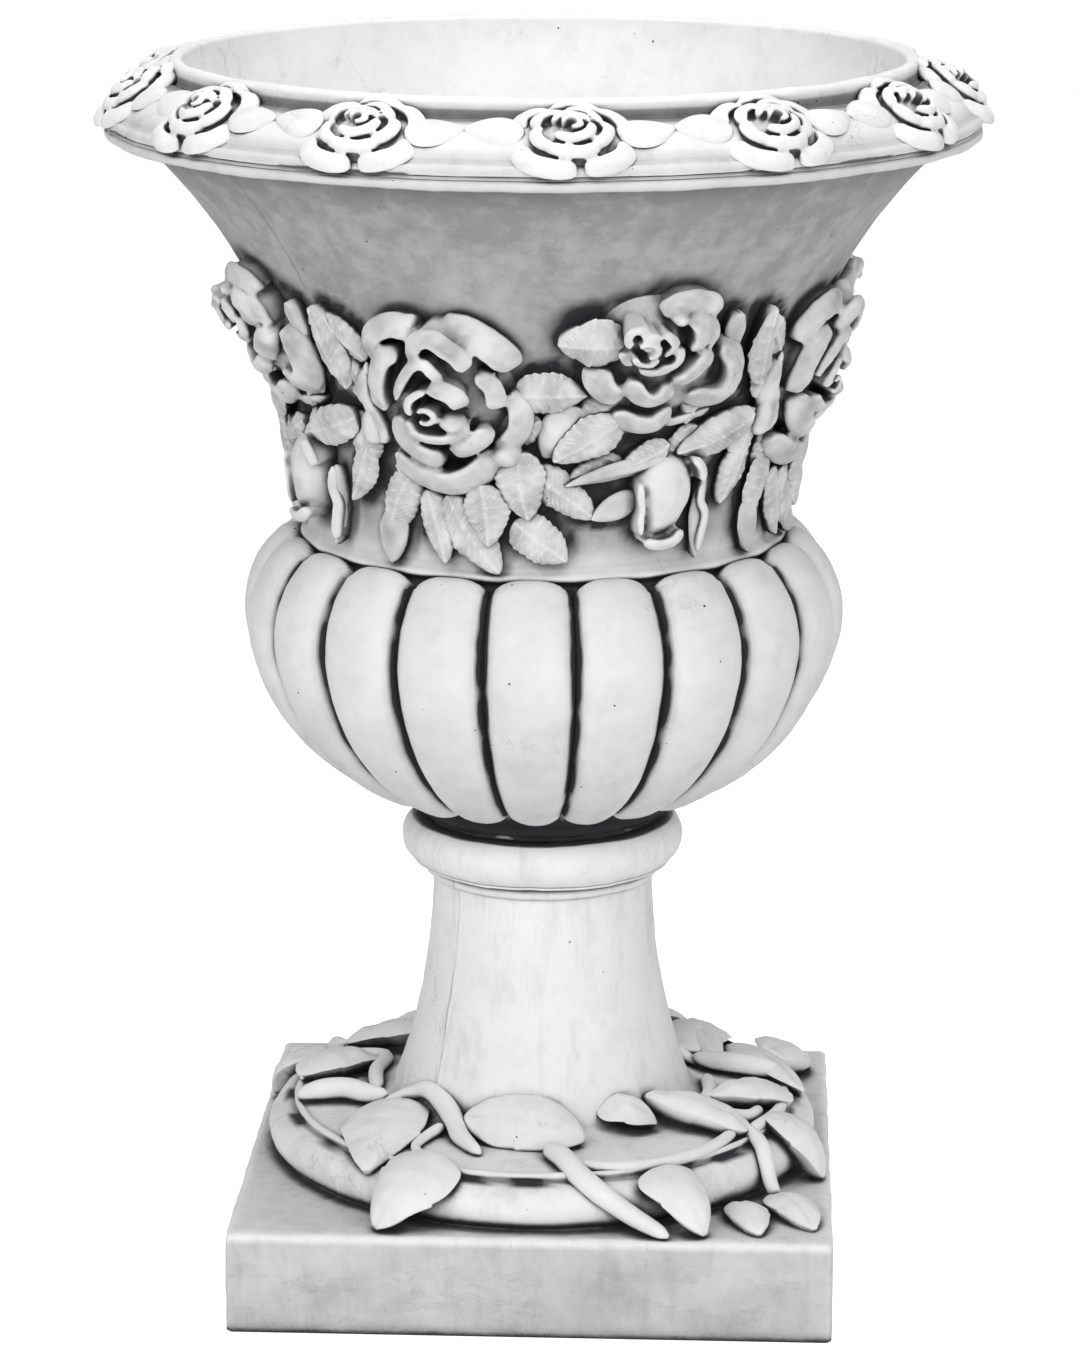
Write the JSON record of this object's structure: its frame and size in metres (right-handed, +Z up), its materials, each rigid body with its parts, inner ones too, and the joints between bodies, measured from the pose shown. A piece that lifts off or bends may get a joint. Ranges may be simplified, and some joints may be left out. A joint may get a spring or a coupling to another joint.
{
  "type": "urn planter",
  "caption": "Classical garden urn planter on a square plinth: flared bowl with rose-trimmed rim, rose garland and gadrooned belly on a waisted pedestal.",
  "frame": {"origin": "centre of the plinth's underside, on the ground", "axes": "+Z up along the urn's axis, -Y towards the front face of the plinth, +X to the right seen from the front"},
  "size_m": [0.5488, 0.5486, 0.78],
  "materials": {
    "bowl_stone": "matt cast stone, dark wash in the recesses",
    "pedestal_stone": "matt cast stone, dark wash in the recesses",
    "relief_stone": "matt cast stone, worn pale on the high spots",
    "mortar": "rough mortar"
  },
  "bodies": {
    "root": {"bowl": "bowl_stone", "pedestal": "pedestal_stone", "mortar_bed": "mortar", "full_rose_1": "relief_stone", "full_rose_2": "relief_stone", "full_rose_3": "relief_stone", "full_rose_4": "relief_stone", "garland_leaves_1": "relief_stone", "garland_leaves_2": "relief_stone", "garland_leaves_3": "relief_stone", "garland_leaves_4": "relief_stone", "ivy_leaves_1": "relief_stone", "ivy_leaves_2": "relief_stone", "ivy_vines_1": "relief_stone", "ivy_vines_2": "relief_stone", "open_rose_1": "relief_stone", "open_rose_2": "relief_stone", "open_rose_3": "relief_stone", "open_rose_4": "relief_stone", "rim_leaves_1": "relief_stone", "rim_leaves_2": "relief_stone", "rim_leaves_3": "relief_stone", "rim_leaves_4": "relief_stone", "rim_leaves_5": "relief_stone", "rim_leaves_6": "relief_stone", "rim_leaves_7": "relief_stone", "rim_leaves_8": "relief_stone", "rim_leaves_9": "relief_stone", "rim_leaves_10": "relief_stone", "rim_leaves_11": "relief_stone", "rim_leaves_12": "relief_stone", "rim_leaves_13": "relief_stone", "rim_rose_1": "relief_stone", "rim_rose_2": "relief_stone", "rim_rose_3": "relief_stone", "rim_rose_4": "relief_stone", "rim_rose_5": "relief_stone", "rim_rose_6": "relief_stone", "rim_rose_7": "relief_stone", "rim_rose_8": "relief_stone", "rim_rose_9": "relief_stone", "rim_rose_10": "relief_stone", "rim_rose_11": "relief_stone", "rim_rose_12": "relief_stone", "rim_rose_13": "relief_stone", "rose_bud_1": "relief_stone", "rose_bud_2": "relief_stone", "rose_bud_3": "relief_stone", "rose_bud_4": "relief_stone"}
  },
  "joints": []
}
